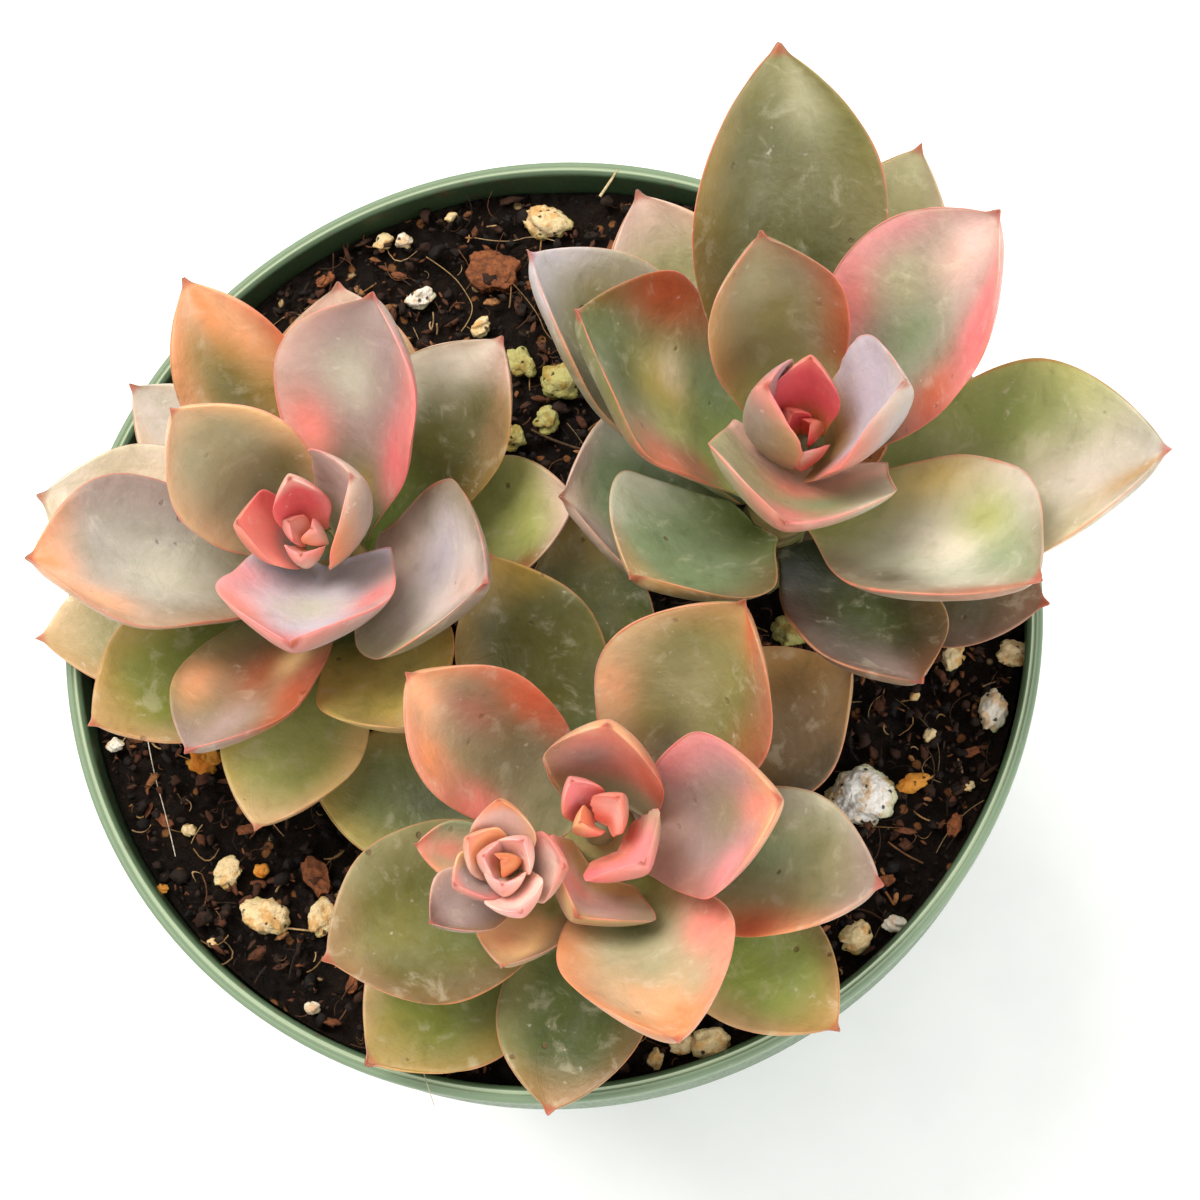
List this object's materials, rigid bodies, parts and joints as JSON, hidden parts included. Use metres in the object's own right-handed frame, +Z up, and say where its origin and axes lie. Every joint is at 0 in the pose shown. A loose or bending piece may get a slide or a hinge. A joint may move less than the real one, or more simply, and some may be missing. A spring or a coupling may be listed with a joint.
{
  "type": "potted succulent",
  "caption": "Rosette succulent with broad cupped leaves in a round thin-walled nursery pot of soil.",
  "frame": {"origin": "centre of the pot's flat base", "axes": "+Z up along the pot's axis; the tallest rosette is on the +X side"},
  "size_m": [0.119, 0.1096, 0.1403],
  "materials": {
    "pot_plastic": "satin",
    "potting_soil": "matte",
    "stem_skin": "matte",
    "outer_leaf": "waxy satin",
    "middle_leaf": "waxy satin",
    "young_leaf": "waxy satin",
    "perlite": "matte",
    "bark": "matte"
  },
  "bodies": {
    "root": {"bark_chip": "bark", "bud_a": "young_leaf", "bud_b": "young_leaf", "bud_c": "young_leaf", "bud_d": "young_leaf", "leaf_a01": "outer_leaf", "leaf_a02": "outer_leaf", "leaf_a03": "outer_leaf", "leaf_a04": "outer_leaf", "leaf_a05": "outer_leaf", "leaf_a06": "outer_leaf", "leaf_a07": "outer_leaf", "leaf_a08": "outer_leaf", "leaf_a09": "outer_leaf", "leaf_a10": "middle_leaf", "leaf_a11": "middle_leaf", "leaf_a12": "middle_leaf", "leaf_a13": "middle_leaf", "leaf_a14": "young_leaf", "leaf_a15": "young_leaf", "leaf_a16": "young_leaf", "leaf_b01": "outer_leaf", "leaf_b02": "outer_leaf", "leaf_b03": "outer_leaf", "leaf_b04": "outer_leaf", "leaf_b05": "outer_leaf", "leaf_b06": "outer_leaf", "leaf_b07": "outer_leaf", "leaf_b08": "outer_leaf", "leaf_b09": "middle_leaf", "leaf_b10": "middle_leaf", "leaf_b11": "middle_leaf", "leaf_b12": "middle_leaf", "leaf_b13": "middle_leaf", "leaf_b14": "young_leaf", "leaf_b15": "young_leaf", "leaf_c01": "outer_leaf", "leaf_c02": "outer_leaf", "leaf_c03": "outer_leaf", "leaf_c04": "outer_leaf", "leaf_c05": "outer_leaf", "leaf_c06": "outer_leaf", "leaf_c07": "outer_leaf", "leaf_c08": "outer_leaf", "leaf_c09": "outer_leaf", "leaf_c10": "middle_leaf", "leaf_c11": "middle_leaf", "leaf_c12": "middle_leaf", "leaf_c13": "young_leaf", "leaf_c14": "young_leaf", "leaf_c15": "young_leaf", "leaf_d01": "young_leaf", "leaf_d02": "young_leaf", "leaf_d03": "young_leaf", "perlite_grain": "perlite", "pot": "pot_plastic", "soil": "potting_soil", "stem_a": "stem_skin", "stem_b": "stem_skin", "stem_c": "stem_skin"}
  },
  "joints": []
}
